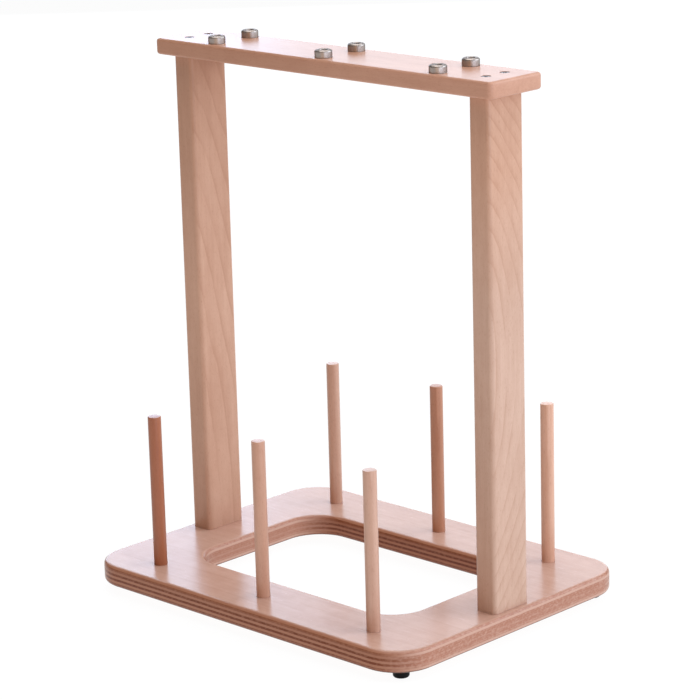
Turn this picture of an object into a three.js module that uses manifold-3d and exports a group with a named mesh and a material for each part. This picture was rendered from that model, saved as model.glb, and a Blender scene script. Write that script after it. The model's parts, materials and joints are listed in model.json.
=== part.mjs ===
// A yarn cone stand for a weaver: a plywood ring on four rubber feet carries six dowel pegs, and two
// posts carry a rail whose six metal bushes guide the threads. Millimetres, +Z up, +X along the rail,
// +Y to the back. The origin is on the floor, in the middle of the base.

import * as THREE from "three";
import { mergeVertices } from "three/addons/utils/BufferGeometryUtils.js";
import Module from "manifold-3d";

const wasm = await Module();
wasm.setup();

// ---- driving dimensions ------------------------------------------------------------------------

const BOARD = { length: 400, depth: 304.5, thickness: 20, corner: 38, roundOver: 4 };
const OPENING = { length: 262, depth: 168.5, corner: 33.5 };
const POST = { width: 23, depth: 45, height: 460, corner: 4, x: 181.5 };
const RAIL = { length: 411, depth: 68, thickness: 15, corner: 5, roundOver: 3 };
const PEG = { radius: 6.15, length: 160, chamfer: 0.8, x: 136, y: 117.5, holeDepth: 18, clearance: 0.15 };
const GUIDE = { collar: 7.9, height: 7, shoulder: 2, shank: 5, eye: 3.8, lip: 0.8, x: 135.5, y: 21 };
const FOOT = { height: 8, top: 7.8, base: 7.3, edge: 2, bore: 1.8, recess: 3, seat: 4.5, x: 178.5, y: 129 };
const SCREW = { head: 4.4, sink: 3, shank: 2, length: 45, point: 4, y: 12, below: 0.4 };
const FOOT_SCREW = { head: 2.6, headHeight: 1.8, bevel: 0.6, shank: 1.5, length: 14, point: 2.5 };
const CROSS = { span: 4.4, width: 1, depth: 1.8 };
const SMALL_CROSS = { span: 3.1, width: 0.7, depth: 1.2 };
const FIT_GAP = 0.3;

// How far a cutting tool reaches past the face that it opens.
const REACH = 1;

// How far each peg's lower end stands above the floor of its hole: none of them is driven fully home.
const PEG_GAP = {
  front_left: 1,
  front_middle: 3.7,
  front_right: 4.1,
  back_left: 0.3,
  back_middle: 2,
  back_right: 9.5,
};

const FINE = 24;
const COARSE = 16;
const ARC_STEPS = 4;
const ROUND_STEPS = 2;

const boardTop = FOOT.height + BOARD.thickness;
const railBottom = boardTop + POST.height;
const railTop = railBottom + RAIL.thickness;

// ---- materials ---------------------------------------------------------------------------------

const finishes = {
  plywood: { color: 0xd8b09c, roughness: 0.35, metalness: 0 },
  rail: { color: 0xd8ae98, roughness: 0.35, metalness: 0 },
  post: { color: 0xd9ad96, roughness: 0.4, metalness: 0 },
  pegDark: { color: 0xa3664b, roughness: 0.4, metalness: 0 },
  pegOrange: { color: 0xb8805f, roughness: 0.4, metalness: 0 },
  pegPale: { color: 0xcf9f85, roughness: 0.4, metalness: 0 },
  guide: { color: 0xb3a79f, roughness: 0.3, metalness: 1 },
  screw: { color: 0x77706f, roughness: 0.4, metalness: 1 },
  rubber: { color: 0x17130f, roughness: 0.7, metalness: 0 },
};

function material(finish) {
  return new THREE.MeshStandardMaterial(finishes[finish]);
}

// ---- solids ------------------------------------------------------------------------------------

// A closed mesh with shared corners and no collapsed triangles, from any closed three.js geometry.
function weld(geometry) {
  const bare = geometry.clone();
  bare.deleteAttribute("normal");
  bare.deleteAttribute("uv");
  const merged = mergeVertices(bare);
  const corners = [];
  for (let i = 0; i < merged.index.count; i += 3) {
    const [a, b, c] = [0, 1, 2].map((step) => merged.index.getX(i + step));
    if (a !== b && b !== c && c !== a) corners.push(a, b, c);
  }
  merged.setIndex(corners);
  return merged;
}

function toSolid(geometry) {
  const welded = weld(geometry);
  return new wasm.Manifold(new wasm.Mesh({
    numProp: 3,
    vertProperties: new Float32Array(welded.attributes.position.array),
    triVerts: new Uint32Array(welded.index.array),
  }));
}

function toGeometry(solid) {
  const mesh = solid.getMesh();
  const geometry = new THREE.BufferGeometry();
  geometry.setAttribute("position", new THREE.BufferAttribute(mesh.vertProperties, mesh.numProp));
  geometry.setIndex(new THREE.BufferAttribute(mesh.triVerts, 1));
  geometry.computeVertexNormals();
  return geometry;
}

function cut(geometry, tools) {
  let solid = toSolid(geometry);
  for (const tool of tools) solid = solid.subtract(toSolid(tool));
  return toGeometry(solid);
}

// A rectangle with round corners, centred on the origin.
function roundedRectangle(Outline, length, depth, corner) {
  const x = length / 2 - corner;
  const y = depth / 2 - corner;
  const outline = new Outline();
  outline.absarc(x, y, corner, 0, Math.PI / 2);
  outline.absarc(-x, y, corner, Math.PI / 2, Math.PI);
  outline.absarc(-x, -y, corner, Math.PI, 1.5 * Math.PI);
  outline.absarc(x, -y, corner, 1.5 * Math.PI, 2 * Math.PI);
  outline.closePath();
  return outline;
}

// A plate standing on z = 0 whose upper and lower edges are rounded over.
function roundedPlate(shape, thickness, roundOver) {
  const plate = new THREE.ExtrudeGeometry(shape, {
    depth: thickness - 2 * roundOver,
    bevelThickness: roundOver,
    bevelSize: roundOver,
    bevelOffset: -roundOver,
    bevelSegments: ROUND_STEPS,
    curveSegments: ARC_STEPS,
  });
  return plate.translate(0, 0, roundOver);
}

// A solid turned about the Z axis from a profile of [radius, height] points, listed upwards.
function turned(profile, segments = FINE) {
  const points = profile.map(([radius, height]) => new THREE.Vector2(radius, height));
  return new THREE.LatheGeometry(points, segments).rotateX(Math.PI / 2);
}

function rod(radius, bottom, top, segments = FINE) {
  return turned([[0, bottom], [radius, bottom], [radius, top], [0, top]], segments);
}

// Points on a quarter circle that turns from the side at `start` to the side at `start` + 90 degrees.
function quarter(centreRadius, centreHeight, radius, start, steps = ROUND_STEPS) {
  const points = [];
  for (let i = 0; i <= steps; i += 1) {
    const angle = start + (i / steps) * (Math.PI / 2);
    points.push([centreRadius + radius * Math.cos(angle), centreHeight + radius * Math.sin(angle)]);
  }
  return points;
}

// ---- screws ------------------------------------------------------------------------------------

// The profile of a countersunk screw with its point down and the rim of its head at z = 0. `gap` widens
// it all round and `mouth` is how far its head carries on upwards, which together make it a hole.
function screwProfile(gap, mouth) {
  const tip = -SCREW.length - gap;
  return [
    [0, tip],
    [SCREW.shank + gap, tip + SCREW.point],
    [SCREW.shank + gap, -SCREW.sink - gap],
    [SCREW.head + gap, -gap / 2],
    [SCREW.head + gap, mouth],
    [0, mouth],
  ];
}

// A cross-shaped tool that reaches `depth` below z = 0.
function crossRecess({ span, width, depth }) {
  const wide = span / 2;
  const thin = width / 2;
  const corners = [
    [wide, -thin], [wide, thin], [thin, thin], [thin, wide], [-thin, wide], [-thin, thin],
    [-wide, thin], [-wide, -thin], [-thin, -thin], [-thin, -wide], [thin, -wide], [thin, -thin],
  ];
  const shape = new THREE.Shape(corners.map(([x, y]) => new THREE.Vector2(x, y)));
  const slot = new THREE.ExtrudeGeometry(shape, { depth: depth + REACH, bevelEnabled: false });
  return slot.translate(0, 0, -depth);
}

function woodScrew() {
  return cut(turned(screwProfile(0, 0), COARSE), [crossRecess(CROSS)]);
}

// z = 0 under the head; the point is down.
function footScrew() {
  const { head, headHeight, bevel, shank, length, point } = FOOT_SCREW;
  const body = turned([
    [0, -length],
    [shank, point - length],
    [shank, 0],
    [head, 0],
    [head, headHeight - bevel],
    [head - bevel, headHeight],
    [0, headHeight],
  ], COARSE);
  return cut(body, [crossRecess(SMALL_CROSS).translate(0, 0, headHeight)]);
}

// The hole that a wood screw fills, at (x, y) with its mouth at height z; `up` turns it over.
function screwHole(x, y, z, up) {
  const hole = turned(screwProfile(FIT_GAP, SCREW.below + REACH), COARSE);
  if (up) hole.rotateX(Math.PI);
  return hole.translate(x, y, z);
}

const screwPlaces = [];
for (const side of [-1, 1]) {
  for (const end of [-1, 1]) screwPlaces.push([side * POST.x, end * SCREW.y]);
}
const railScrewZ = railTop - SCREW.below;
const baseScrewZ = FOOT.height + SCREW.below;
const railScrewHoles = (z) => screwPlaces.map(([x, y]) => screwHole(x, y, z, false));
const baseScrewHoles = (z) => screwPlaces.map(([x, y]) => screwHole(x, y, z, true));

// ---- the pieces --------------------------------------------------------------------------------

const footPlaces = {};
const pegPlaces = {};
const guidePlaces = {};
for (const [row, y] of [["front", -1], ["back", 1]]) {
  for (const [column, x] of [["left", -1], ["middle", 0], ["right", 1]]) {
    pegPlaces[`${row}_${column}`] = [x * PEG.x, y * PEG.y];
    guidePlaces[`${row}_${column}`] = [x * GUIDE.x, y * GUIDE.y];
    if (x) footPlaces[`${row}_${column}`] = [x * FOOT.x, y * FOOT.y];
  }
}

// z = 0 on the board's underside.
function baseBoard() {
  const shape = roundedRectangle(THREE.Shape, BOARD.length, BOARD.depth, BOARD.corner);
  shape.holes.push(roundedRectangle(THREE.Path, OPENING.length, OPENING.depth, OPENING.corner));
  const pegFloor = BOARD.thickness - PEG.holeDepth;
  const pegHole = rod(PEG.radius + PEG.clearance, pegFloor, BOARD.thickness + REACH);
  const footHoleTop = FOOT.seat + FOOT_SCREW.length - FOOT.height + FIT_GAP;
  const footHole = rod(FOOT_SCREW.shank + FIT_GAP, -REACH, footHoleTop, COARSE);
  return cut(roundedPlate(shape, BOARD.thickness, BOARD.roundOver), [
    ...Object.values(pegPlaces).map(([x, y]) => pegHole.clone().translate(x, y, 0)),
    ...Object.values(footPlaces).map(([x, y]) => footHole.clone().translate(x, y, 0)),
    ...baseScrewHoles(SCREW.below),
  ]);
}

// A post stands on z = 0 at its own centre, and its screws come in from both ends.
function post() {
  const shape = roundedRectangle(THREE.Shape, POST.width, POST.depth, POST.corner);
  const timber = new THREE.ExtrudeGeometry(shape, {
    depth: POST.height,
    bevelEnabled: false,
    curveSegments: ROUND_STEPS,
  });
  const tools = [];
  for (const end of [-1, 1]) {
    tools.push(screwHole(0, end * SCREW.y, railScrewZ - boardTop, false));
    tools.push(screwHole(0, end * SCREW.y, baseScrewZ - boardTop, true));
  }
  return cut(timber, tools);
}

// z = 0 on the rail's underside.
function topRail() {
  const shape = roundedRectangle(THREE.Shape, RAIL.length, RAIL.depth, RAIL.corner);
  const shankHole = rod(GUIDE.shank + FIT_GAP, -REACH, RAIL.thickness + REACH);
  return cut(roundedPlate(shape, RAIL.thickness, RAIL.roundOver), [
    ...Object.values(guidePlaces).map(([x, y]) => shankHole.clone().translate(x, y, 0)),
    ...railScrewHoles(RAIL.thickness - SCREW.below),
  ]);
}

// z = 0 at the peg's lower end.
function peg() {
  const waist = PEG.radius - PEG.chamfer;
  return weld(turned([
    [0, 0],
    [waist, 0],
    [PEG.radius, PEG.chamfer],
    [PEG.radius, PEG.length - PEG.chamfer],
    [waist, PEG.length],
    [0, PEG.length],
  ]));
}

// A bush whose collar stands on z = 0 and whose shank hangs through the rail; the eye has round lips.
function threadGuide() {
  const { collar, height, shoulder, shank, eye, lip } = GUIDE;
  const foot = -RAIL.thickness;
  return weld(turned([
    [eye + lip, foot],
    [shank, foot],
    [shank, 0],
    [collar, 0],
    ...quarter(collar - shoulder, height - shoulder, shoulder, 0),
    ...quarter(eye + lip, height - lip, lip, Math.PI / 2),
    [eye, foot + lip],
    [eye + lip, foot],
  ], COARSE));
}

// A rubber foot with its resting face on z = 0 and a recess for its screw.
function rubberFoot() {
  const { height, top, base, edge, bore, recess, seat } = FOOT;
  return weld(turned([
    [recess, 0],
    ...quarter(base - edge, edge, edge, -Math.PI / 2),
    [top, height],
    [bore, height],
    [bore, seat],
    [recess, seat],
    [recess, 0],
  ], COARSE));
}

// ---- assembly ----------------------------------------------------------------------------------

const stand = new THREE.Group();

function place(name, geometry, finish, [x, y], z) {
  const piece = new THREE.Mesh(geometry, material(finish));
  piece.name = name;
  piece.position.set(x, y, z);
  stand.add(piece);
}

place("base_board", baseBoard(), "plywood", [0, 0], FOOT.height);
place("left_post", post(), "post", [-POST.x, 0], boardTop);
place("right_post", post(), "post", [POST.x, 0], boardTop);
place("top_rail", topRail(), "rail", [0, 0], railBottom);

const pegFinish = { front_left: "pegDark", back_left: "pegOrange", back_middle: "pegOrange" };
for (const [where, spot] of Object.entries(pegPlaces)) {
  const bottom = boardTop - PEG.holeDepth + PEG_GAP[where];
  place(`peg_${where}`, peg(), pegFinish[where] ?? "pegPale", spot, bottom);
}

for (const [where, spot] of Object.entries(guidePlaces)) {
  place(`thread_guide_${where}`, threadGuide(), "guide", spot, railTop);
}

for (const [where, spot] of Object.entries(footPlaces)) {
  place(`foot_${where}`, rubberFoot(), "rubber", spot, 0);
  place(`foot_screw_${where}`, footScrew().rotateX(Math.PI), "screw", spot, FOOT.seat);
}

for (const [x, y] of screwPlaces) {
  const where = `${x < 0 ? "left" : "right"}_${y < 0 ? "front" : "back"}`;
  place(`rail_screw_${where}`, woodScrew(), "screw", [x, y], railScrewZ);
  place(`base_screw_${where}`, woodScrew().rotateX(Math.PI), "screw", [x, y], baseScrewZ);
}

export default stand;
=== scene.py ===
"""Looks for the yarn cone stand: smooth wood, plywood, metal and rubber around its fixed frame.

Everything is in metres, in the part's own frame: +X along the rail, +Y to the back, +Z up, floor at 0.
"""

import json
import math

import bmesh
import bpy
from mathutils import Matrix, Vector


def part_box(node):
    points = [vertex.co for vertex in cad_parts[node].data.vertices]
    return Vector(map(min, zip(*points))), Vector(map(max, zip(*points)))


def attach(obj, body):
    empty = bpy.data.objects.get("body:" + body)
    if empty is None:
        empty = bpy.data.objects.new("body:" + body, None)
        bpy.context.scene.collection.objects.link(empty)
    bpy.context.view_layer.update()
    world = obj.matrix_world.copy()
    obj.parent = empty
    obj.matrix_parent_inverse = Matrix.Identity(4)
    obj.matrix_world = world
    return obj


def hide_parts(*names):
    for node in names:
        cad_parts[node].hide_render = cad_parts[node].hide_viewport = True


MM = 0.001

# ---- shapes that a node's box doesn't give -------------------------------------------------------

BOARD_CORNER = 38 * MM
BOARD_ROUND = 4 * MM
OPENING = (262 * MM, 168.5 * MM)
OPENING_CORNER = 33.5 * MM
POST_CORNER = 4 * MM
POST_ROUND = 0.4 * MM
RAIL_CORNER = 5 * MM
RAIL_ROUND = 3 * MM
PEG_ROUND = 0.8 * MM
PEG_HOLE_DEPTH = 18 * MM
PEG_HOLE_RIM = 0.12 * MM
FIT = 0.05 * MM
GUIDE_SHANK = 5 * MM
GUIDE_EYE = 3.8 * MM
GUIDE_SHOULDER = 2 * MM
GUIDE_LIP = 0.8 * MM
GUIDE_BEVEL = 0.2 * MM
FOOT_BASE = 7.3 * MM
FOOT_ROUND = 2 * MM
FOOT_RECESS = 3 * MM
FOOT_SEAT = 4.5 * MM
FOOT_BORE = 1.8 * MM
FOOT_BEVEL = 0.4 * MM
FOOT_LIP = 0.3 * MM
SCREW_HEAD = 4.4 * MM
SCREW_SINK = 3 * MM
SCREW_SHANK = 2 * MM
SCREW_POINT = 4 * MM
SCREW_RIM = (0.3 * MM, 0.1 * MM)
SCREW_BEVEL = 0.15 * MM
SCREW_HOLE_DEPTH = 25 * MM
SCREW_CLEARANCE = 0.1 * MM
FOOT_SCREW_HEAD = 2.6 * MM
FOOT_SCREW_TOP = 1.8 * MM
FOOT_SCREW_SHANK = 1.5 * MM
FOOT_SCREW_POINT = 2.5 * MM
FOOT_SCREW_DOME = 0.8 * MM
# A driver's recess: its span, the width of its arms and its depth.
CROSS = (4.4 * MM, 1.0 * MM, 1.8 * MM)
CROSS_RISE = 0.5 * MM
CROSS_TAPER = (1.1, 0.45)
CROSS_BLUNT = 0.2
FOOT_CROSS_SCALE = 0.7
# How far a cutting tool reaches past the face that it opens.
REACH = 2 * MM

CORNER_STEPS = 16
EDGE_STEPS = 6
FLAT_MARGIN = 0.3 * MM
TURN_STEPS = 64
SHARP_ANGLE = math.radians(35)
WELD = 1e-7

# ---- camera and light ----------------------------------------------------------------------------

VIEW_AZIMUTH = 44.174
VIEW_ELEVATION = 15.186
VIEW_ROLL = -1.541
VIEW_DISTANCE = 2.6314
VIEW_TARGET = (-0.0100, 0.0128, 0.2274)
LENS = 148.07
SENSOR_WIDTH = 36

LIGHT_TARGET = (0, 0, 0.25)
SOFTBOXES = {
    # name: place, width and height, power in watts of red, green and blue
    "top": ((0, 0, 3.0), (3.0, 3.0), (74, 74, 74)),
    "right": ((3.0, -0.4, 0.6), (2.6, 1.4), (31, 36, 43)),
    "right_back": ((2.2, 2.2, 2.0), (3.0, 2.4), (66, 77, 88)),
    "front": ((1.8, -2.6, 0.8), (2.4, 1.6), (8, 4, 1)),
    "backdrop": ((-2.4, 2.4, 1.2), (3.8, 2.4), (54, 61, 70)),
    "window": ((-2.8, 1.6, 1.1), (1.6, 1.8), (8, 12, 18)),
}
WORLD = (0.12, 0.117, 0.105)
FLOOR_RADIUS = 40
FLOOR_COLOUR = (0.07, 0.07, 0.07)
FLOOR_GLOW = 0.95
WALL_RADIUS = 30
WALL_HEIGHT = 30
WALL_GLOW = 1.0

# ---- colours -------------------------------------------------------------------------------------

LACQUER_IOR = 1.3
RAIL_IOR = 1.27
PEG_IOR = 1.5
RUBBER_IOR = 1.2
VENEER_ROUGH = 0.27
TIMBER_ROUGH = 0.3
PEG_ROUGH = 0.34
# What the wood's own colour is multiplied by between the grain lines, on them, and in the pores.
PALE_GRAIN = (1.05, 1.05, 1.05)
DARK_GRAIN = (0.87, 0.79, 0.74)
FLECK = (0.88, 0.83, 0.80)
# Each part of the wood's figure: how often it changes in a metre, across the grain twice and along it,
# the noise's roughness, and how a piece's seed shifts it.
FIGURE_NOISE = {
    "fibre": ((1500, 1500, 60), 0.6, (0, 1, 0)),
    "streak": ((260, 260, 14), 0.55, (0, 0, 1)),
    "band": ((30, 30, 9), 0.5, (1, 1, 1)),
    "cloud": ((90, 90, 70), 0.5, (1, 0, 1)),
}
FLECK_SIZE = (1300, 1300, 300)
# How much of the wood's tone comes from each part of its figure, and how strong its flecks are.
SOLID_FIGURE = {"streak": 0.3, "fibre": 0.25, "band": 0.45, "cloud": 0.2, "fleck": 1.0}
VENEER_FIGURE = {"streak": 0.25, "fibre": 0.08, "band": 0.5, "cloud": 0.37, "fleck": 0.5}
# Each timber's colour at its low end and at its high end, and where along its grain it changes. The change
# is
# painted light and shade: the rail darker towards its left end and the left post darker towards its top,
# under the rail, as painted shade, and the right post paler low down as a painted sheen.
TIMBERS = {
    "top_rail": ((0.465, 0.24, 0.158), (0.55, 0.30, 0.212), (-0.2, 0.2)),
    "left_post": ((0.575, 0.34, 0.242), (0.47, 0.26, 0.175), (0.25, 0.47)),
    "right_post": ((0.59, 0.385, 0.295), (0.575, 0.335, 0.235), (0.3, 0.42)),
}
VENEER = (0.56, 0.335, 0.257)
PALE_PLY = (0.46, 0.205, 0.125)
DARK_PLY = (0.185, 0.043, 0.013)
PALE_END_PLY = (0.58, 0.345, 0.265)
DARK_END_PLY = (0.41, 0.18, 0.118)
# The colour of the dark glue lines between the plies, and of the painted shade along the board's
# underside.
GLUE_AND_SHADE = (0.16, 0.06, 0.035)
# What the long edges of the opening are multiplied by: painted shade, as less light reaches them inside
# the opening.
OPENING_SHADE = (0.8, 0.68, 0.6)
PEG_WOODS = {
    "peg_front_left": (0.375, 0.124, 0.057),
    "peg_front_middle": (0.60, 0.335, 0.237),
    "peg_front_right": (0.61, 0.37, 0.277),
    "peg_back_left": (0.60, 0.355, 0.26),
    "peg_back_middle": (0.49, 0.225, 0.135),
    "peg_back_right": (0.70, 0.405, 0.287),
}
# How far from a piece's own middle the rings' centre lies, across the grain.
POST_PITH = (-0.06, 0.2)
PEG_PITH = (-0.03, 0.02)
# How much of the figure comes from the year rings.
RING_SHARE = {"veneer": 0.1, "rail": 0.1, "post": 0.28, "peg": 0.3}
# How dark each ply is, from the lowest to the topmost, on the long edges and on the short ones;
# the lowest tones are partly painted shade of the underside.
LONG_EDGE_PLIES = (1.0, 0.7, 0.12, 1.0, 0.08, 0.9, 0.2, 0.6, 0.1)
SHORT_EDGE_PLIES = (0.6, 0.12, 0.7, 0.9, 0.75, 0.9, 0.9, 0.1, 0.8)
# How rough the cut plies look on the long edges, on the outer short ones and on the opening's short ones.
LONG_SPECKLE = 1.6
OUTER_SPECKLE = 2.2
OPENING_SPECKLE = 0.8
# The metals: colour, roughness, and how bright they stay at a grazing angle.
GUIDE_METAL = ((0.49, 0.42, 0.385), 0.42, 0.4)
SCREW_METAL = ((0.22, 0.20, 0.20), 0.34, 1.0)
# How far apart walls are whose gap gets painted shade on the metal.
CREVICE_SHADE = 5 * MM
RUBBER_DARK = (0.002, 0.0018, 0.0016)
RUBBER_DUST = (0.006, 0.005, 0.005)


# ---- meshes --------------------------------------------------------------------------------------


def rounded_rectangle(length, depth, corner):
    """Points of a rectangle with round corners, centred on the origin, anticlockwise."""
    points = []
    for quadrant, (sx, sy) in enumerate([(1, 1), (-1, 1), (-1, -1), (1, -1)]):
        for step in range(CORNER_STEPS + 1):
            angle = (quadrant + step / CORNER_STEPS) * math.pi / 2
            x = sx * (length / 2 - corner) + corner * math.cos(angle)
            y = sy * (depth / 2 - corner) + corner * math.sin(angle)
            points.append((x, y))
    return points


def edge_profile(thickness, round_over):
    """(inset, height) pairs that climb the edge of a plate, from its flat underside to its flat top."""
    lower = [(round_over + FLAT_MARGIN, 0)]
    for step in range(EDGE_STEPS + 1):
        angle = step / EDGE_STEPS * math.pi / 2
        lower.append((round_over * (1 - math.sin(angle)), round_over * (1 - math.cos(angle))))
    upper = [(inset, thickness - height) for inset, height in reversed(lower)]
    return lower + upper


def strip(bm, low, high):
    """Quads between two closed loops of the same number of vertices."""
    count = len(low)
    for i in range(count):
        j = (i + 1) % count
        bm.faces.new((low[i], low[j], high[j], high[i]))


def finish_mesh(name, bm):
    bmesh.ops.remove_doubles(bm, verts=bm.verts, dist=WELD)
    bmesh.ops.recalc_face_normals(bm, faces=bm.faces)
    mesh = bpy.data.meshes.new(name)
    bm.to_mesh(mesh)
    bm.free()
    piece = bpy.data.objects.new(name, mesh)
    bpy.context.scene.collection.objects.link(piece)
    shade(mesh)
    return piece


def shade(mesh):
    mesh.shade_smooth()
    mesh.set_sharp_from_angle(angle=SHARP_ANGLE)


def plate(name, low, high, corner, round_over, opening=None):
    """A flat board between two corners of its box, its edges rounded over, with or without an opening."""
    size = high - low
    middle = (low + high) / 2
    bm = bmesh.new()

    def loop(length, depth, radius, height):
        outline = rounded_rectangle(length, depth, radius)
        return [bm.verts.new((middle.x + x, middle.y + y, low.z + height)) for x, y in outline]

    profile = edge_profile(size.z, round_over)
    outer = [loop(size.x - 2 * i, size.y - 2 * i, corner - i, h) for i, h in profile]
    for below, above in zip(outer, outer[1:]):
        strip(bm, below, above)
    if opening:
        length, depth, radius = opening
        inner = [loop(length + 2 * i, depth + 2 * i, radius + i, h) for i, h in profile]
        for below, above in zip(inner, inner[1:]):
            strip(bm, above, below)
        strip(bm, inner[0], outer[0])
        strip(bm, outer[-1], inner[-1])
    else:
        bm.faces.new(list(reversed(outer[0])))
        bm.faces.new(outer[-1])
    return finish_mesh(name, bm)


def turned(name, profile, centre, steps=TURN_STEPS):
    """A closed solid turned about a vertical axis, from (radius, height) points; height 0 is at centre."""
    bm = bmesh.new()
    rings = []
    for radius, height in profile:
        count = steps if radius > 0 else 1
        ring = []
        for i in range(count):
            angle = 2 * math.pi * i / steps
            spot = Vector((radius * math.cos(angle), radius * math.sin(angle), height))
            ring.append(bm.verts.new(spot + centre))
        rings.append(ring)
    pairs = list(zip(rings, rings[1:]))
    if profile[0][0] > 0:
        pairs.append((rings[-1], rings[0]))
    for low, high in pairs:
        for i in range(steps):
            j = (i + 1) % steps
            corners = [low[i % len(low)], low[j % len(low)], high[j % len(high)], high[i % len(high)]]
            corners = [v for n, v in enumerate(corners) if v not in corners[:n]]
            if len(corners) > 2:
                bm.faces.new(corners)
    return finish_mesh(name, bm)


def arc(radius, height, size, start, turn, steps=EDGE_STEPS):
    """(radius, height) points on an arc of a turned profile, angles in degrees."""
    points = []
    for step in range(steps + 1):
        angle = math.radians(start + turn * step / steps)
        points.append((radius + size * math.cos(angle), height + size * math.sin(angle)))
    return points


def carve(piece, cutters):
    """Cuts the cutters out of a piece and deletes them."""
    for cutter in cutters:
        cut = piece.modifiers.new("cut", "BOOLEAN")
        cut.operation = "DIFFERENCE"
        cut.solver = "EXACT"
        cut.object = cutter
    bpy.context.view_layer.update()
    evaluated = piece.evaluated_get(bpy.context.evaluated_depsgraph_get())
    mesh = bpy.data.meshes.new_from_object(evaluated)
    piece.modifiers.clear()
    piece.data = mesh
    for cutter in cutters:
        bpy.data.objects.remove(cutter)
    shade(mesh)
    return piece


def middle_of(node, height=None):
    """The middle of a node's box, or the point at a height on the vertical through it."""
    low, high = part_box(node)
    middle = (low + high) / 2
    if height is not None:
        middle.z = height
    return middle


def flip(piece, height):
    """Turns a piece upside down about a height."""
    piece.data.transform(Matrix.Translation((0, 0, 2 * height)) @ Matrix.Diagonal((1, 1, -1, 1)))
    piece.data.flip_normals()
    return piece


# ---- the pieces ----------------------------------------------------------------------------------


def screw_hole(node, up):
    """The countersunk hole round a wood screw's head and shank."""
    low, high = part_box(node)
    mouth = low.z if up else high.z
    gap = SCREW_CLEARANCE
    profile = [
        (0, -SCREW_HOLE_DEPTH),
        (SCREW_SHANK + gap, -SCREW_HOLE_DEPTH),
        (SCREW_SHANK + gap, -SCREW_SINK - gap),
        (SCREW_HEAD + gap, -gap),
        (SCREW_HEAD + gap, REACH),
        (0, REACH),
    ]
    hole = turned("hole", profile, middle_of(node, mouth))
    return flip(hole, mouth) if up else hole


def peg_hole(node, board_top):
    """A blind hole with a slightly eased rim."""
    low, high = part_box(node)
    radius = (high.x - low.x) / 2 + FIT
    profile = [
        (0, -PEG_HOLE_DEPTH),
        (radius, -PEG_HOLE_DEPTH),
        (radius, -PEG_HOLE_RIM),
        (radius + PEG_HOLE_RIM, 0),
        (radius + PEG_HOLE_RIM, REACH),
        (0, REACH),
    ]
    return turned("hole", profile, middle_of(node, board_top))


def guide_hole(node, rail_bottom, rail_top):
    """A straight hole right through the rail for a guide's shank."""
    radius = GUIDE_SHANK + FIT
    top = rail_top - rail_bottom + REACH
    profile = [(0, -REACH), (radius, -REACH), (radius, top), (0, top)]
    return turned("hole", profile, middle_of(node, rail_bottom))


def base_board(nodes):
    low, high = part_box("base_board")
    board = plate("plywood_base", low, high, BOARD_CORNER, BOARD_ROUND, (*OPENING, OPENING_CORNER))
    holes = [peg_hole(n, high.z) for n in nodes if n.startswith("peg_")]
    holes += [screw_hole(n, True) for n in nodes if n.startswith("base_screw_")]
    return carve(board, holes)


def top_rail(nodes):
    low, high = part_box("top_rail")
    rail = plate("rail_board", low, high, RAIL_CORNER, RAIL_ROUND)
    holes = [screw_hole(n, False) for n in nodes if n.startswith("rail_screw_")]
    holes += [guide_hole(n, low.z, high.z) for n in nodes if n.startswith("thread_guide_")]
    return carve(rail, holes)


def post(node):
    low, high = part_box(node)
    return plate(node + "_timber", low, high, POST_CORNER, POST_ROUND)


def peg(node):
    """A dowel with softly rounded ends."""
    low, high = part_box(node)
    radius = (high.x - low.x) / 2
    length = high.z - low.z
    edge = radius - PEG_ROUND
    profile = [(0, 0)]
    profile += arc(edge, PEG_ROUND, PEG_ROUND, -90, 90)
    profile += arc(edge, length - PEG_ROUND, PEG_ROUND, 0, 90)
    profile += [(0, length)]
    return turned(node + "_dowel", profile, middle_of(node, low.z))


def thread_guide(node):
    """A turned bush: a round-shouldered collar on the rail and a shank through it, with a bored eye."""
    low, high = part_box(node)
    collar = (high.x - low.x) / 2
    height = high.z - low.z
    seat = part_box("top_rail")[1].z - low.z
    profile = [(GUIDE_EYE + GUIDE_LIP, 0), (GUIDE_SHANK, 0), (GUIDE_SHANK, seat)]
    profile += [(collar - GUIDE_BEVEL, seat), (collar, seat + GUIDE_BEVEL)]
    profile += arc(collar - GUIDE_SHOULDER, height - GUIDE_SHOULDER, GUIDE_SHOULDER, 0, 90)
    profile += arc(GUIDE_EYE + GUIDE_LIP, height - GUIDE_LIP, GUIDE_LIP, 90, 90)
    profile += arc(GUIDE_EYE + GUIDE_LIP, GUIDE_LIP, GUIDE_LIP, 180, 90)[:-1]
    return turned(node + "_bush", profile, middle_of(node, low.z))


def cross_cutter(centre, scale):
    """A tapered cross that sinks a driver's recess into a screw head whose top is at centre."""
    span, width, depth = (size * scale for size in CROSS)
    bm = bmesh.new()
    loops = []
    for height, taper in zip((CROSS_RISE, -depth), CROSS_TAPER):
        wide = span / 2 * taper
        thin = width / 2 * (taper + CROSS_BLUNT)
        quarter = [(wide, -thin), (wide, thin), (thin, thin)]
        ring = []
        for turn in range(4):
            for x, y in quarter:
                for _ in range(turn):
                    x, y = -y, x
                ring.append(bm.verts.new(Vector((x, y, height)) + centre))
        loops.append(ring)
    strip(bm, loops[1], loops[0])
    bm.faces.new(loops[0])
    bm.faces.new(list(reversed(loops[1])))
    return finish_mesh("cross", bm)


def wood_screw(node, up):
    """A countersunk screw; its point is down, or up where it goes into a post's foot."""
    low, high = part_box(node)
    length = high.z - low.z
    top = middle_of(node, high.z)
    profile = [
        (0, -length),
        (SCREW_SHANK, SCREW_POINT - length),
        (SCREW_SHANK, -SCREW_SINK),
        (SCREW_HEAD, -SCREW_RIM[0]),
        (SCREW_HEAD, -SCREW_RIM[1]),
        (SCREW_HEAD - SCREW_BEVEL, 0),
        (0, 0),
    ]
    screw = turned(node + "_steel", profile, top)
    carve(screw, [cross_cutter(top, 1)])
    return flip(screw, (low.z + high.z) / 2) if up else screw


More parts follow.
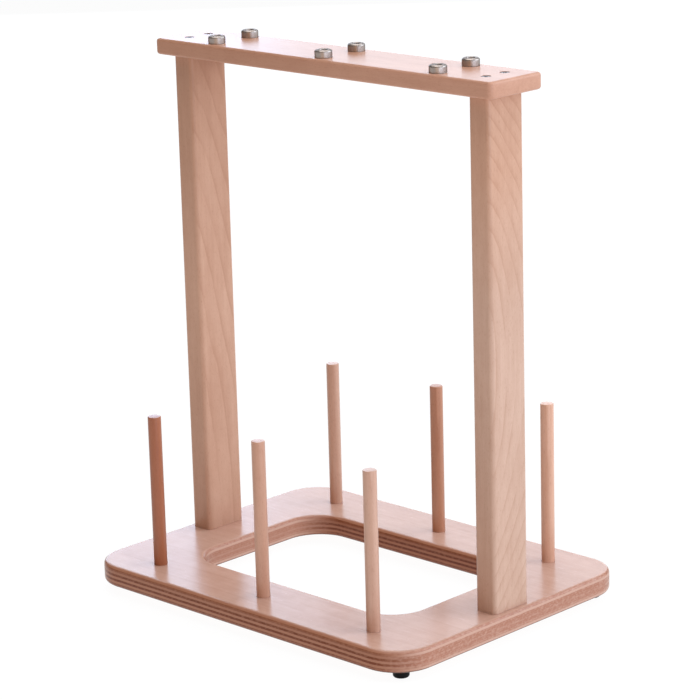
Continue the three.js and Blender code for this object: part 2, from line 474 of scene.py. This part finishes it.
def foot_screw(node):
    """A small round-head screw whose head is sunk in the rubber foot."""
    low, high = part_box(node)
    length = high.z - low.z
    top = middle_of(node, high.z)
    dome = FOOT_SCREW_DOME
    profile = [
        (0, -length),
        (FOOT_SCREW_SHANK, FOOT_SCREW_POINT - length),
        (FOOT_SCREW_SHANK, -FOOT_SCREW_TOP),
        (FOOT_SCREW_HEAD, -FOOT_SCREW_TOP),
    ]
    profile += arc(FOOT_SCREW_HEAD - dome, -dome, dome, 0, 90) + [(0, 0)]
    screw = turned(node + "_steel", profile, top)
    carve(screw, [cross_cutter(top, FOOT_CROSS_SCALE)])
    return flip(screw, (low.z + high.z) / 2)


def rubber_foot(node):
    """A tapered rubber bumper with a rounded lower edge and a recess for its screw."""
    low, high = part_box(node)
    top = (high.x - low.x) / 2
    height = high.z - low.z
    profile = [(FOOT_RECESS + FOOT_LIP, 0)]
    profile += arc(FOOT_BASE - FOOT_ROUND, FOOT_ROUND, FOOT_ROUND, -90, 90)
    profile += [(top, height - FOOT_BEVEL), (top - FOOT_BEVEL, height), (FOOT_BORE, height)]
    profile += [(FOOT_BORE, FOOT_SEAT), (FOOT_RECESS, FOOT_SEAT), (FOOT_RECESS, FOOT_LIP)]
    return turned(node + "_rubber", profile, middle_of(node, low.z))


# ---- materials -----------------------------------------------------------------------------------


def add(tree, kind, inputs=None, **settings):
    """Adds a node, sets it up, and fills or links its inputs."""
    made = tree.nodes.new(kind)
    for key, value in settings.items():
        setattr(made, key, value)
    for key, value in (inputs or {}).items():
        if isinstance(value, bpy.types.NodeSocket):
            tree.links.new(value, made.inputs[key])
        else:
            made.inputs[key].default_value = value
    return made


def maths(tree, operation, a, b=0.0, c=0.0, clamp=False):
    inputs = {0: a, 1: b, 2: c}
    return add(tree, "ShaderNodeMath", inputs, operation=operation, use_clamp=clamp).outputs[0]


def scaled(tree, vector, scale, shift=(0, 0, 0), turn=(0, 0, 0)):
    inputs = {"Vector": vector, "Location": shift, "Rotation": turn, "Scale": scale}
    return add(tree, "ShaderNodeMapping", inputs).outputs[0]


def noise(tree, vector, scale, detail=3.0, roughness=0.5):
    inputs = {"Vector": vector, "Scale": scale, "Detail": detail, "Roughness": roughness}
    return add(tree, "ShaderNodeTexNoise", inputs).outputs["Fac"]


def ramp(tree, factor, stops, interpolation="LINEAR"):
    """A colour ramp from (place, colour) stops; a colour is one grey number or three."""
    made = add(tree, "ShaderNodeValToRGB", {"Fac": factor})
    made.color_ramp.interpolation = interpolation
    elements = made.color_ramp.elements
    while len(elements) < len(stops):
        elements.new(0.5)
    for element, (place, colour) in zip(elements, stops):
        grey = isinstance(colour, (int, float))
        element.position = place
        element.color = (colour,) * 3 + (1,) if grey else (*colour, 1)
    return made.outputs["Color"]


def mix(tree, factor, a, b, blend="MIX"):
    made = add(tree, "ShaderNodeMix", data_type="RGBA", blend_type=blend)
    for index, value in ((0, factor), (6, a), (7, b)):
        if isinstance(value, bpy.types.NodeSocket):
            tree.links.new(value, made.inputs[index])
        elif index == 0:
            made.inputs[index].default_value = value
        else:
            made.inputs[index].default_value = (*value, 1)
    return made.outputs[2]


def new_material(name):
    made = bpy.data.materials.new(name)
    made.use_nodes = True
    tree = made.node_tree
    tree.nodes.clear()
    output = add(tree, "ShaderNodeOutputMaterial")
    shader = add(tree, "ShaderNodeBsdfPrincipled")
    tree.links.new(shader.outputs[0], output.inputs[0])
    return made, tree, shader


def along_grain(tree, axis):
    """The piece's own coordinates with the grain along Z; axis is the grain's real direction."""
    place = add(tree, "ShaderNodeTexCoord").outputs["Object"]
    parts = add(tree, "ShaderNodeSeparateXYZ", {0: place}).outputs
    order = {"X": "YZX", "Z": "XYZ"}[axis]
    inputs = {to: parts[source] for to, source in zip("XYZ", order)}
    return add(tree, "ShaderNodeCombineXYZ", inputs).outputs[0]


def year_rings(tree, grain, pith, lean, bow, gap, seed, face=None):
    """Thin dark lines where rings round a far-off pith meet the surface, 0 to 1.

    pith is the ring's centre across the grain. It moves along the second of these directions by lean
    for each metre along the grain, and by bow for each metre squared. With face, the lines show only on
    the surfaces that face along that axis.
    """
    parts = add(tree, "ShaderNodeSeparateXYZ", {0: grain}).outputs
    drift = maths(tree, "MULTIPLY", parts["Z"], maths(tree, "MULTIPLY_ADD", parts["Z"], bow, lean))
    from_pith = {
        "X": maths(tree, "SUBTRACT", parts["X"], pith[0]),
        "Y": maths(tree, "SUBTRACT", maths(tree, "SUBTRACT", parts["Y"], pith[1]), drift),
    }
    flat = add(tree, "ShaderNodeCombineXYZ", from_pith).outputs[0]
    distance = add(tree, "ShaderNodeVectorMath", {0: flat}, operation="LENGTH").outputs["Value"]
    wander = noise(tree, scaled(tree, grain, (30, 30, 6), (seed, 0, 0)), 1.0, 2.0)
    turns = maths(tree, "DIVIDE", distance, gap)
    phase = maths(tree, "FRACT", maths(tree, "MULTIPLY_ADD", wander, 0.9, turns))
    lines = ramp(tree, phase, [(0, 0.0), (0.5, 0.05), (0.82, 0.45), (0.93, 1.0), (1, 0.0)])
    strength = noise(tree, scaled(tree, grain, (60, 60, 12), (0, 0, seed)), 1.0, 1.0)
    lines = maths(tree, "MULTIPLY", lines, ramp(tree, strength, [(0.35, 0.2), (0.6, 1.0)]))
    if face:
        normal = add(tree, "ShaderNodeTexCoord").outputs["Normal"]
        facing = add(tree, "ShaderNodeSeparateXYZ", {0: normal}).outputs[face]
        lines = maths(tree, "MULTIPLY", lines, maths(tree, "MULTIPLY", facing, facing))
    return lines


def wood_colour(tree, grain, colour, rings, ring_share, seed, figure=SOLID_FIGURE):
    """The colour of smooth pale wood, and the fibres that its relief and gloss follow."""
    parts = {}
    for part, (scale, roughness, shift) in FIGURE_NOISE.items():
        place = scaled(tree, grain, scale, tuple(seed * share for share in shift))
        parts[part] = noise(tree, place, 1.0, 3.0, roughness)
    total = maths(tree, "MULTIPLY", rings, ring_share)
    for part, value in parts.items():
        total = maths(tree, "MULTIPLY_ADD", value, figure[part], total)
    grain_tone = ramp(tree, total, [(0.47, PALE_GRAIN), (0.85, DARK_GRAIN)])
    tone = mix(tree, 1.0, colour, grain_tone, "MULTIPLY")
    dashes = noise(tree, scaled(tree, grain, FLECK_SIZE, (seed, seed, 0)), 1.0, 2.0)
    flecks = ramp(tree, dashes, [(0.58, (1, 1, 1)), (0.72, FLECK)])
    return mix(tree, figure["fleck"], tone, flecks, "MULTIPLY"), parts["fibre"]


def varnish(tree, shader, colour, fibre, rough, ior=LACQUER_IOR, relief=0.05):
    """A thin clear lacquer over wood whose fibres show faintly in the gloss."""
    tree.links.new(colour, shader.inputs["Base Color"])
    inputs = {"Value": fibre, "To Min": rough - relief, "To Max": rough + relief}
    tree.links.new(add(tree, "ShaderNodeMapRange", inputs).outputs[0], shader.inputs["Roughness"])
    inputs = {"Strength": relief, "Distance": 0.3 * MM, "Height": fibre}
    tree.links.new(add(tree, "ShaderNodeBump", inputs).outputs[0], shader.inputs["Normal"])
    shader.inputs["IOR"].default_value = ior


def solid_wood(name, axis, colours, seed, rings, ring_share, rough, ior=LACQUER_IOR):
    """Solid timber or dowel with its grain along one axis.

    colours is a row of TIMBERS and rings the settings of its year rings.
    """
    made, tree, shader = new_material(name)
    grain = along_grain(tree, axis)
    low_end, high_end, (start, end) = colours
    # For the posts and the rail, the change from one end colour to the other is painted light and shade.
    along = add(tree, "ShaderNodeSeparateXYZ", {0: grain}).outputs["Z"]
    change = add(tree, "ShaderNodeMapRange", {"Value": along, "From Min": start, "From Max": end})
    colour = mix(tree, change.outputs[0], low_end, high_end)
    lines = year_rings(tree, grain, seed=seed, **rings)
    tone, fibre = wood_colour(tree, grain, colour, lines, ring_share, seed)
    varnish(tree, shader, tone, fibre, rough, ior)
    return made


def ply_tones(tree, level, tones):
    """How dark the edge is at a level, 0 at the underside and 1 at the top."""
    stops = [(i / len(tones), tone) for i, tone in enumerate(tones)]
    return ramp(tree, level, stops, "CONSTANT")


def beyond(tree, coordinate, opening_size):
    """1 further out along an axis than the opening reaches, and 0 within its size."""
    edge = opening_size / 2 + FLAT_MARGIN
    return maths(tree, "GREATER_THAN", maths(tree, "ABSOLUTE", coordinate), edge)


def cut_plies(tree, place, spot, level, share):
    """The colours of the plies on an edge; share is 1 where it faces along X, and 0 along Y."""
    long_edge = ply_tones(tree, level, LONG_EDGE_PLIES)
    short_edge = ply_tones(tree, level, SHORT_EDGE_PLIES)
    darkness = mix(tree, share, long_edge, short_edge)
    mottle = noise(tree, scaled(tree, place, (330, 330, 520), turn=(0.5, 0.4, 0.3)), 1.0, 3.0, 0.5)
    outer = beyond(tree, spot["X"], OPENING[0])
    short = maths(tree, "MULTIPLY_ADD", outer, OUTER_SPECKLE - OPENING_SPECKLE, OPENING_SPECKLE)
    extra = maths(tree, "SUBTRACT", short, LONG_SPECKLE)
    speckle = maths(tree, "MULTIPLY", darkness, maths(tree, "MULTIPLY_ADD", share, extra, LONG_SPECKLE))
    darkness = maths(tree, "MULTIPLY_ADD", maths(tree, "SUBTRACT", mottle, 0.5), speckle, darkness)
    across = mix(tree, darkness, PALE_PLY, DARK_PLY)
    # Painted shade on the opening's long edges.
    in_opening = maths(tree, "SUBTRACT", 1.0, beyond(tree, spot["Y"], OPENING[1]))
    across = mix(tree, in_opening, across, OPENING_SHADE, "MULTIPLY")
    edge = mix(tree, share, across, mix(tree, darkness, PALE_END_PLY, DARK_END_PLY))
    within = maths(tree, "FRACT", maths(tree, "MULTIPLY", level, len(LONG_EDGE_PLIES)))
    glue = ramp(tree, within, [(0, 0.3), (0.1, 0.0), (0.9, 0.0), (1, 0.3)])
    return mix(tree, glue, edge, GLUE_AND_SHADE)


def plywood(name, low, high):
    """Nine plies whose grain runs along X and Y in turn: the rounded edges cut through them."""
    made, tree, shader = new_material(name)
    grain = along_grain(tree, "X")
    seed = 3.7
    rings = year_rings(tree, grain, (-0.35, 0.05), 0.05, 0.1, 14 * MM, seed)
    veneer, fibre = wood_colour(tree, grain, VENEER, rings, RING_SHARE["veneer"], seed, VENEER_FIGURE)

    coordinates = add(tree, "ShaderNodeTexCoord").outputs
    place = coordinates["Object"]
    spot = add(tree, "ShaderNodeSeparateXYZ", {0: place}).outputs
    level = maths(tree, "DIVIDE", maths(tree, "SUBTRACT", spot["Z"], low.z), high.z - low.z)
    # Painted shade: a dark band along the lowest couple of millimetres of every edge, where the underside
    # turns away from the light.
    rim = ramp(tree, level, [(0.003, 0.0), (0.01, 1.0), (0.08, 1.0), (0.11, 0.0)])
    wave = noise(tree, scaled(tree, place, (30, 30, 30)), 1.0, 3.0)
    level = maths(tree, "MULTIPLY_ADD", maths(tree, "SUBTRACT", wave, 0.5), 0.03, level, clamp=True)
    normal = add(tree, "ShaderNodeSeparateXYZ", {0: coordinates["Normal"]}).outputs
    facing_x = maths(tree, "MULTIPLY", normal["X"], normal["X"])
    facing_y = maths(tree, "MULTIPLY", normal["Y"], normal["Y"])
    sideways = maths(tree, "ADD", facing_x, facing_y)
    share = maths(tree, "DIVIDE", facing_x, maths(tree, "ADD", sideways, 0.001))
    edge = cut_plies(tree, place, spot, level, share)

    side = ramp(tree, sideways, [(0.05, 0.0), (0.35, 1.0)])
    colour = mix(tree, rim, mix(tree, side, veneer, edge), GLUE_AND_SHADE)
    varnish(tree, shader, colour, fibre, VENEER_ROUGH, relief=0.01)
    return made


def turned_metal(name, colour, rough, grazing):
    """Turned metal with fine lathe rings round the vertical axis and painted shade in its crevices and
    bores.
    """
    made, tree, shader = new_material(name)
    shader.inputs["Specular Tint"].default_value = (grazing, grazing, grazing, 1)
    place = add(tree, "ShaderNodeTexCoord").outputs["Object"]
    lines = noise(tree, scaled(tree, place, (40, 40, 9000)), 1.0, 2.0)
    cloud = noise(tree, scaled(tree, place, (300, 300, 300)), 1.0, 3.0)
    tone = mix(tree, cloud, colour, tuple(channel * 0.82 for channel in colour))
    # Painted shade: the metal's colour darkens where walls close round it, in bores, driver recesses and
    # where it meets the wood.
    open_share = add(tree, "ShaderNodeAmbientOcclusion", {"Distance": CREVICE_SHADE}, samples=8).outputs["AO"]
    painted_crevice_shade = ramp(tree, open_share, [(0.2, 0.12), (0.5, 1.0)])
    tree.links.new(mix(tree, 1.0, tone, painted_crevice_shade, "MULTIPLY"), shader.inputs["Base Color"])
    shader.inputs["Metallic"].default_value = 1.0
    inputs = {"Value": cloud, "To Min": rough - 0.06, "To Max": rough + 0.08}
    tree.links.new(add(tree, "ShaderNodeMapRange", inputs).outputs[0], shader.inputs["Roughness"])
    inputs = {"Strength": 0.12, "Distance": 0.05 * MM, "Height": lines}
    tree.links.new(add(tree, "ShaderNodeBump", inputs).outputs[0], shader.inputs["Normal"])
    return made


def rubber(name):
    """Matt black moulded rubber with a fine pebbled skin."""
    made, tree, shader = new_material(name)
    place = add(tree, "ShaderNodeTexCoord").outputs["Object"]
    pebble = noise(tree, place, 2200.0, 3.0, 0.6)
    dust = noise(tree, place, 260.0, 3.0)
    tree.links.new(mix(tree, dust, RUBBER_DARK, RUBBER_DUST), shader.inputs["Base Color"])
    inputs = {"Value": dust, "To Min": 0.4, "To Max": 0.55}
    tree.links.new(add(tree, "ShaderNodeMapRange", inputs).outputs[0], shader.inputs["Roughness"])
    shader.inputs["IOR"].default_value = RUBBER_IOR
    inputs = {"Strength": 0.15, "Distance": 0.1 * MM, "Height": pebble}
    tree.links.new(add(tree, "ShaderNodeBump", inputs).outputs[0], shader.inputs["Normal"])
    return made


def peg_wood(node):
    """A dowel: fine straight grain, with a ring line or two down its side."""
    low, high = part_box(node)
    middle = (low + high) / 2
    colours = (PEG_WOODS[node], PEG_WOODS[node], (low.z, high.z))
    pith = (middle.x + PEG_PITH[0], middle.y + PEG_PITH[1])
    rings = dict(pith=pith, lean=0.01, bow=0.02, gap=3 * MM)
    seed = 7 * middle.x + 11 * middle.y
    share = RING_SHARE["peg"]
    return solid_wood(node + "_wood", "Z", colours, seed, rings, share, PEG_ROUGH, PEG_IOR)


def post_wood(node, lean, bow, gap, seed):
    """A post with leaning, arching lines on its broad sides and straight grain on its narrow ones."""
    middle = middle_of(node)
    pith = (middle.x + POST_PITH[0], middle.y + POST_PITH[1])
    rings = dict(pith=pith, lean=lean, bow=bow, gap=gap, face="X")
    return solid_wood(node + "_wood", "Z", TIMBERS[node], seed, rings, RING_SHARE["post"], TIMBER_ROUGH)


def rail_wood(node):
    """The rail, with nearly straight lines on its top and underside."""
    rings = dict(pith=(-0.03, 0.62), lean=0.03, bow=0.0, gap=8 * MM, face="Z")
    share = RING_SHARE["rail"]
    return solid_wood("rail_wood", "X", TIMBERS[node], 1.3, rings, share, TIMBER_ROUGH, RAIL_IOR)


def make_materials():
    made = {
        "base_board": plywood("plywood", *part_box("base_board")),
        "top_rail": rail_wood("top_rail"),
        "left_post": post_wood("left_post", lean=0.02, bow=-0.5, gap=15 * MM, seed=5.1),
        "right_post": post_wood("right_post", lean=0.95, bow=-1.9, gap=12 * MM, seed=8.4),
        "thread_guide": turned_metal("guide_metal", *GUIDE_METAL),
        "screw": turned_metal("screw_metal", *SCREW_METAL),
        "foot": rubber("foot_rubber"),
    }
    for node in PEG_WOODS:
        made[node] = peg_wood(node)
    return made


# ---- making the object ---------------------------------------------------------------------------


def make_piece(node, nodes):
    """The fine piece that stands for a CAD node."""
    if node == "base_board":
        return base_board(nodes)
    if node == "top_rail":
        return top_rail(nodes)
    if node.endswith("_post"):
        return post(node)
    if node.startswith("peg_"):
        return peg(node)
    if node.startswith("thread_guide_"):
        return thread_guide(node)
    if node.startswith("foot_screw_"):
        return foot_screw(node)
    if node.startswith("foot_"):
        return rubber_foot(node)
    return wood_screw(node, up=node.startswith("base_screw_"))


def material_for(node, materials):
    if node in materials:
        return materials[node]
    if "screw" in node:
        return materials["screw"]
    return materials["thread_guide" if node.startswith("thread_guide_") else "foot"]


def make_object(frame):
    behaviour = frame["record"]["behaviour"]
    body_of = {node: body for body, members in behaviour["bodies"].items() for node in members}
    nodes = sorted(frame["nodes"])
    materials = make_materials()
    for node in nodes:
        piece = make_piece(node, nodes)
        piece.data.materials.clear()
        piece.data.materials.append(material_for(node, materials))
        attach(piece, body_of[node])
        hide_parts(node)


# ---- the stage -----------------------------------------------------------------------------------


def glowing(name, colour, glow):
    """A plain matt colour that also shines white."""
    made, tree, shader = new_material(name)
    shader.inputs["Base Color"].default_value = (*colour, 1)
    shader.inputs["Roughness"].default_value = 1.0
    shader.inputs["Specular IOR Level"].default_value = 0.0
    shader.inputs["Emission Color"].default_value = (1, 1, 1, 1)
    shader.inputs["Emission Strength"].default_value = glow
    return made


def make_floor():
    """A plain pale floor."""
    bm = bmesh.new()
    bmesh.ops.create_circle(bm, cap_ends=True, segments=96, radius=FLOOR_RADIUS)
    floor = finish_mesh("floor", bm)
    floor.data.materials.append(glowing("pale_floor", FLOOR_COLOUR, FLOOR_GLOW))


def make_wall():
    """A plain pale wall far round the stand, which only the camera sees."""
    bm = bmesh.new()
    outline = rounded_rectangle(2 * WALL_RADIUS, 2 * WALL_RADIUS, WALL_RADIUS)
    low, high = [[bm.verts.new((x, y, height)) for x, y in outline] for height in (0, WALL_HEIGHT)]
    strip(bm, low, high)
    wall = finish_mesh("wall", bm)
    wall.data.materials.append(glowing("pale_wall", (0, 0, 0), WALL_GLOW))
    for ray in ("diffuse", "glossy", "transmission", "volume_scatter", "shadow"):
        setattr(wall, "visible_" + ray, False)


def make_light(name, place, aim, size, power):
    """A rectangular softbox at a place, facing a point; the camera doesn't see it."""
    lamp = bpy.data.lights.new(name, "AREA")
    lamp.shape = "RECTANGLE"
    lamp.size, lamp.size_y = size
    lamp.energy = max(power)
    lamp.color = [channel / max(power) for channel in power]
    holder = bpy.data.objects.new(name, lamp)
    holder.location = place
    holder.rotation_euler = (Vector(aim) - Vector(place)).to_track_quat("-Z", "Y").to_euler()
    holder.visible_camera = False
    bpy.context.scene.collection.objects.link(holder)


def make_lights():
    world = bpy.data.worlds.new("studio")
    world.use_nodes = True
    background = world.node_tree.nodes["Background"]
    background.inputs["Color"].default_value = (*WORLD, 1)
    bpy.context.scene.world = world
    for name, (place, size, power) in SOFTBOXES.items():
        make_light(name, place, LIGHT_TARGET, size, power)


def make_camera():
    """The camera looks at the target from VIEW_AZIMUTH and VIEW_ELEVATION, leaning by VIEW_ROLL."""
    azimuth, elevation = math.radians(VIEW_AZIMUTH), math.radians(VIEW_ELEVATION)
    away = Vector((
        math.sin(azimuth) * math.cos(elevation),
        -math.cos(azimuth) * math.cos(elevation),
        math.sin(elevation),
    ))
    data = bpy.data.cameras.new("camera")
    data.sensor_width = SENSOR_WIDTH
    data.lens = LENS
    camera = bpy.data.objects.new("camera", data)
    camera.location = Vector(VIEW_TARGET) + away * VIEW_DISTANCE
    level = (-away).to_track_quat("-Z", "Y").to_matrix()
    camera.rotation_euler = (level @ Matrix.Rotation(math.radians(VIEW_ROLL), 3, "Z")).to_euler()
    bpy.context.scene.collection.objects.link(camera)
    bpy.context.scene.camera = camera


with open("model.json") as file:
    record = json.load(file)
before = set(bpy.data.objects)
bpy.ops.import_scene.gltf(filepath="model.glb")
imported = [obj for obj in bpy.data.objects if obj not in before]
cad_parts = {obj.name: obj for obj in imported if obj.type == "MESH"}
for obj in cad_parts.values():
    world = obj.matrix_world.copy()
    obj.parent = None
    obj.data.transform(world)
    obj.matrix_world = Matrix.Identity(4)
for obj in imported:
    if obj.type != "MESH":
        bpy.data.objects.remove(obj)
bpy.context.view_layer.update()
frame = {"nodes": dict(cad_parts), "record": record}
make_camera()
make_object(frame)
make_floor()
make_wall()
make_lights()
bpy.context.scene.view_settings.view_transform = "Standard"
